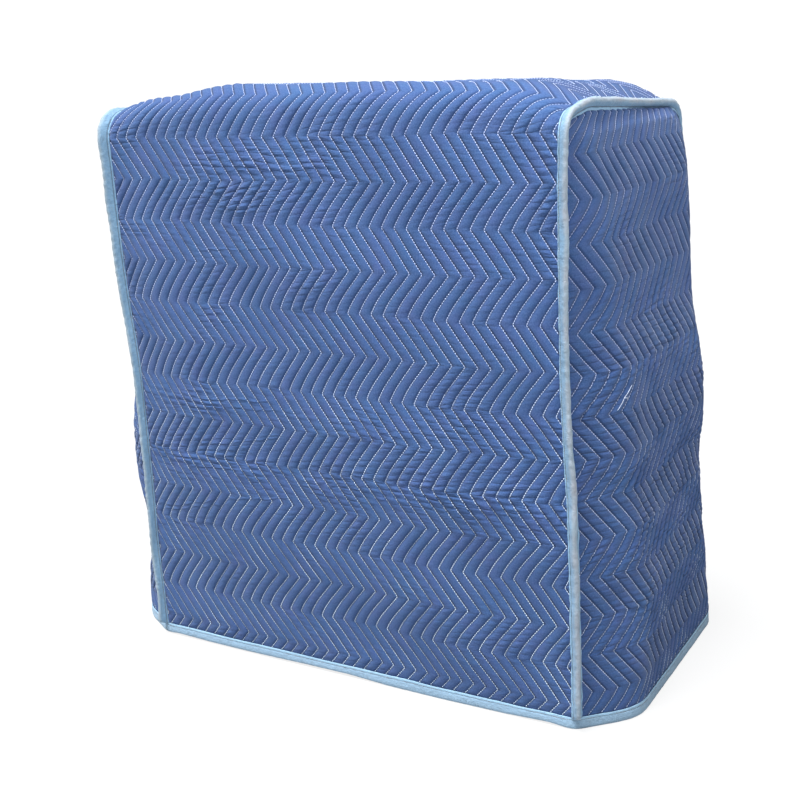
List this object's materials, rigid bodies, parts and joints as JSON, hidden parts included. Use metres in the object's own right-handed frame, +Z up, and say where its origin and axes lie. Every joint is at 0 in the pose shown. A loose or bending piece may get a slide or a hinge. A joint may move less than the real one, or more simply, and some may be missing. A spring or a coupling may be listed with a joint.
{
  "type": "fitted moving pad cover",
  "caption": "Tall box-shaped cover sewn of zigzag-quilted moving-pad cloth, open below, with folded bindings standing along the side seams and a bound hem.",
  "frame": {"origin": "underside of the cover's top, at its middle, where it lies on whatever it covers", "axes": "+Z up, +Y towards the back, +X to the right seen from the front"},
  "size_m": [1.2007, 0.6291, 1.1777],
  "materials": {
    "quilted_cloth": "matt blue woven cloth, quilted with pale thread",
    "binding_tape": "matt light blue woven tape, worn greyer along the seams"
  },
  "bodies": {
    "root": {"main_panel": "quilted_cloth", "side_panel_right": "quilted_cloth", "side_panel_left": "quilted_cloth", "seam_binding_right": "binding_tape", "seam_binding_left": "binding_tape", "hem_binding": "binding_tape"}
  },
  "joints": []
}
